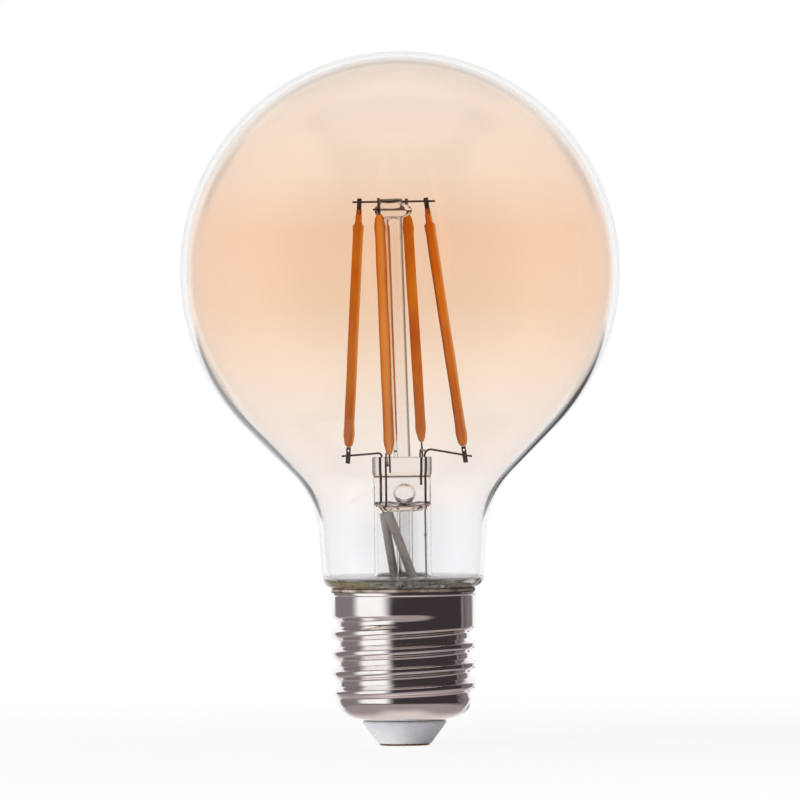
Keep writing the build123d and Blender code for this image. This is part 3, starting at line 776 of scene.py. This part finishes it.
set_input(white_shader, "Roughness", mottle.between(0, 1, 0.38, 0.5))
make_piece("insulator_moulded", insulator_mesh, white_finish, "insulator_white", "insulator", crease=50)

# Centre contact
# A brass disc stamped with a soft edge, held by a rivet that is headed over inside the cap.
contact_low, contact_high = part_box("centre_contact")
contact_radius = contact_high.x
contact_top = 0.3 * mm
rivet_radius = 1.2 * mm
rivet_head = 1.9 * mm
contact_round = 0.2 * mm
head_round = 0.15 * mm
contact_mesh = turned(
    [
        (0, contact_low.z),
        *arc((contact_radius - contact_round, contact_low.z + contact_round), contact_round, -90, 0, 6),
        (contact_radius, contact_top),
        (rivet_radius, contact_top),
        (rivet_radius, contact_high.z - 2 * head_round),
        *arc((rivet_head - head_round, contact_high.z - head_round), head_round, -90, 90, 6),
        (0, contact_high.z),
    ],
    96,
)
brass_finish, brass_shader, brass_place = new_finish("contact_brass", Metallic=1.0)
scuff = speckle(brass_place, 700, 4).between(0.35, 0.7)
set_input(brass_shader, "Base Color", scuff.mixed((0.58, 0.42, 0.20, 1), (0.42, 0.29, 0.14, 1)))
set_input(brass_shader, "Roughness", scuff.between(0, 1, 0.25, 0.45))
make_piece("centre_contact_stamped", contact_mesh, brass_finish, "contact_brass", "centre_contact", crease=50)

# Cement
# Baked cement that fills the gap between the collar and the globe's foot; some of it swelled out over the lip.
cement_low, cement_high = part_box("cap_cement")
cement_in = 12.44 * mm
cement_out = 12.81 * mm
seat_gap = 0.04 * mm
fillet_radius = spigot_radius - glass_wall - seat_gap
fillet_width = 1.2 * mm
fillet_rise = 1.8 * mm
spigot_seat = globe_low.z - seat_gap
bead_out = cement_high.x
bead_swell = 0.34 * mm
bead_base = shell_high.z + seat_gap
bead_mid = (bead_base + cement_high.z) / 2
lump_marks = 350
lump_depth = 0.3 * mm
cement_mesh = turned(
    [
        (fillet_radius - fillet_width, cement_low.z),
        (cement_out, cement_low.z),
        (cement_out, bead_base),
        *arc((bead_out - bead_swell, bead_mid), (cement_high.z - bead_base) / 2, -90, 90, 8),
        (cement_in, cement_high.z),
        (cement_in, spigot_seat),
        (fillet_radius, spigot_seat),
        (fillet_radius, spigot_seat + fillet_rise),
        (fillet_radius - fillet_width, cement_low.z),
    ],
    160,
)
for vert in cement_mesh.verts:
    around = Vector((vert.co.x, vert.co.y))
    if around.length > cement_out + 0.05 * mm:
        lump = noise.noise(Vector((vert.co.x * lump_marks, vert.co.y * lump_marks, 0)))
        vert.co.x, vert.co.y = around.normalized() * (around.length - (0.5 - 0.5 * lump) * lump_depth)
cement_finish, cement_shader, cement_place = new_finish("cap_cement", Roughness=0.85)
baked = speckle(cement_place, 500, 4).between(0.3, 0.7)
set_input(cement_shader, "Base Color", baked.mixed((0.22, 0.165, 0.11, 1), (0.62, 0.53, 0.46, 1)))
bumped(cement_shader, baked, 0.4, 0.1 * mm)
make_piece("cap_cement_bead", cement_mesh, cement_finish, "cement", "cap_cement", crease=60)

# Studio
# A pale floor under the bulb in a bright room: white behind it, a soft box and a close white card on the left, and
# a dark side in front.
floor_size = 3.0
shadow_edges = (40 * mm, 260 * mm)
shadow_glow = 0.88
floor_mesh = bmesh.new()
bmesh.ops.create_grid(floor_mesh, x_segments=1, y_segments=1, size=floor_size)
floor_finish, floor_shader, floor_place = new_finish("pale_floor", Base_Color=(1, 1, 1, 1), Roughness=0.9)
floor = placed("floor", floor_mesh, floor_finish)
floor.visible_glossy = False
floor.visible_transmission = False
floor_tree = floor_finish.node_tree
floor_glow = floor_tree.nodes.new("ShaderNodeEmission")
seen = Shade(floor_tree.nodes.new("ShaderNodeLightPath").outputs["Is Camera Ray"])
spread = floor_place.node("VectorMath", {"operation": "LENGTH"}, {0: floor_place}, "Value")
blend_surface(floor_tree, seen * spread.between(*shadow_edges, shadow_glow, 1.0), floor_shader, floor_glow)

world = bpy.data.worlds.new("studio")
bpy.context.scene.world = world
world.use_nodes = True
room = world.node_tree
paths = room.nodes.new("ShaderNodeLightPath")
way = Shade(room.nodes.new("ShaderNodeTexCoord").outputs["Generated"])
right, back, up = split(way)
turn = right.sum("ARCTAN2", right, 0 - back) * (180 / pi)
white = (1, 1, 1, 1)
dark_front = (0.043, 0.034, 0.038, 1)
side_grey = (0.22, 0.19, 0.202, 1)
edge_grey = (0.24, 0.22, 0.225, 1)
shaded_floor = (0.34, 0.29, 0.295, 1)
bright_floor = (0.72, 0.64, 0.62, 1)
ceiling = (0.75, 0.73, 0.72, 1)
soft_left = (0.68, 0.68, 0.72, 1)
soft_right = (0.15, 0.15, 0.18, 1)
pale_ceiling = (0.93, 0.92, 0.91, 1)
dim_ceiling = (0.5, 0.49, 0.48, 1)

# The room as metal and the outside of the glass mirror it
mirror_room = turn.between(-75, -88).mixed(dark_front, side_grey)
mirror_room = turn.between(100, 130).mixed(mirror_room, side_grey)
edge_line = turn.between(105, 107) * turn.between(112, 110) * abs(up).between(0.25, 0.1)
mirror_room = edge_line.mixed(mirror_room, edge_grey)
behind = turn.between(-138, -145) + turn.between(140, 149)
mirror_room = (behind * up.between(0.7, 0.4)).mixed(mirror_room, white)
doorway = turn.between(153, 159) * turn.between(173, 168) * up.between(-0.14, -0.18) * up.between(-0.3, -0.25)
mirror_room = doorway.mixed(mirror_room, side_grey)
under = back.between(-0.65, 0.1) * abs(right).between(0.55, 0.15)
mirror_room = up.between(-0.28, -0.48).mixed(mirror_room, under.mixed(shaded_floor, bright_floor))
mirror_room = up.between(0.85, 0.95).mixed(mirror_room, ceiling)

# The room as it is seen through the glass, straight or after a reflection, and as it lights the pieces inside
far_table = up.between(-0.27, -0.35) * back.between(0.3, 0.6)
table = up.between(-0.09, -0.14) * abs(right).between(0.6, 0.42) * (1 - far_table)
pale = back.between(-0.9, -0.05) * (1 - table)
mirrored = Shade(paths.outputs["Glossy Depth"]).between(0, 1)
glass_room = pale.most(1 - mirrored).mixed(dark_front, white)
glass_room = up.between(0.45, 0.85).mixed(glass_room, pale_ceiling)
scattered = Shade(paths.outputs["Diffuse Depth"]).between(0, 1)
glass_room = scattered.mixed(glass_room, up.between(0.45, 0.75).mixed(white, dim_ceiling))

soft = right.between(-0.7, 0.7).mixed(soft_left, soft_right)
lit = Shade(paths.outputs["Is Glossy Ray"]).mixed(soft, mirror_room)
lit = Shade(paths.outputs["Is Transmission Ray"]).mixed(lit, glass_room)
lit = Shade(paths.outputs["Is Camera Ray"]).mixed(lit, white)
set_input(room.nodes["Background"], "Color", lit)

card_radius = 34 * mm
card_heights = (0.5 * mm, 36 * mm)
card_full_heights = (3 * mm, 29 * mm)
card_turns = (13, 76)
card_full_turns = (30, 60)
card_mesh = bmesh.new()
card_edge = [card_mesh.verts.new((0, -card_radius, height)) for height in card_heights]
card_mesh.edges.new(card_edge)
bmesh.ops.rotate(card_mesh, verts=card_mesh.verts, matrix=Matrix.Rotation(-radians(card_turns[0]), 3, "Z"))
sweep = radians(card_turns[1] - card_turns[0])
bmesh.ops.spin(card_mesh, geom=card_mesh.verts[:] + card_mesh.edges[:], axis=(0, 0, 1), angle=-sweep, steps=24)
card_finish, card_paint, card_place = new_finish("card_white")
card = placed("reflector_card", card_mesh, card_finish)
card.visible_camera = False
card.visible_diffuse = False
card.visible_transmission = False
card.visible_shadow = False
card_tree = card_finish.node_tree
card_tree.nodes.remove(card_paint)
card_clear = card_tree.nodes.new("ShaderNodeBsdfTransparent")
card_glow = card_tree.nodes.new("ShaderNodeEmission")
card_x, card_y, card_z = split(card_place)
card_turn = card_x.sum("ARCTAN2", 0 - card_x, 0 - card_y) * (180 / pi)
card_sides = card_turn.between(card_turns[0], card_full_turns[0])
card_sides = card_sides * card_turn.between(card_turns[1], card_full_turns[1])
card_ends = card_z.between(card_heights[0], card_full_heights[0])
card_ends = card_ends * card_z.between(card_heights[1], card_full_heights[1])
blend_surface(card_tree, card_sides * card_ends, card_clear, card_glow)

key_data = bpy.data.lights.new("key_soft_box", "AREA")
key_data.shape = "RECTANGLE"
key_data.size = 0.6
key_data.size_y = 0.9
key_data.energy = 9.0
key = bpy.data.objects.new("key_soft_box", key_data)
bpy.context.scene.collection.objects.link(key)
key_aim = Vector((0, 0, 0.06))
key.location = (-0.9, -0.7, 0.5)
key.rotation_mode = "QUATERNION"
key.rotation_quaternion = (key.location - key_aim).to_track_quat("Z", "Y")
key.visible_glossy = False
key.visible_transmission = False

# Camera
# A long lens level with the bulb's middle, rolled a little as the bulb leans in the picture.
photo_scale = 5.5 / mm
photo_side = 800
camera_distance = 1.5
camera_height = 62.75 * mm
axis_offset = 1.3 / photo_scale
camera_roll = radians(0.59)
camera_data = bpy.data.cameras.new("camera")
camera_data.sensor_width = 36
camera_data.lens = camera_data.sensor_width * camera_distance * photo_scale / photo_side
camera = bpy.data.objects.new("camera", camera_data)
bpy.context.scene.collection.objects.link(camera)
camera.location = (-axis_offset, -camera_distance, camera_height)
camera.rotation_euler = (radians(90), camera_roll, 0)
bpy.context.scene.camera = camera
bpy.context.scene.view_settings.view_transform = "Standard"
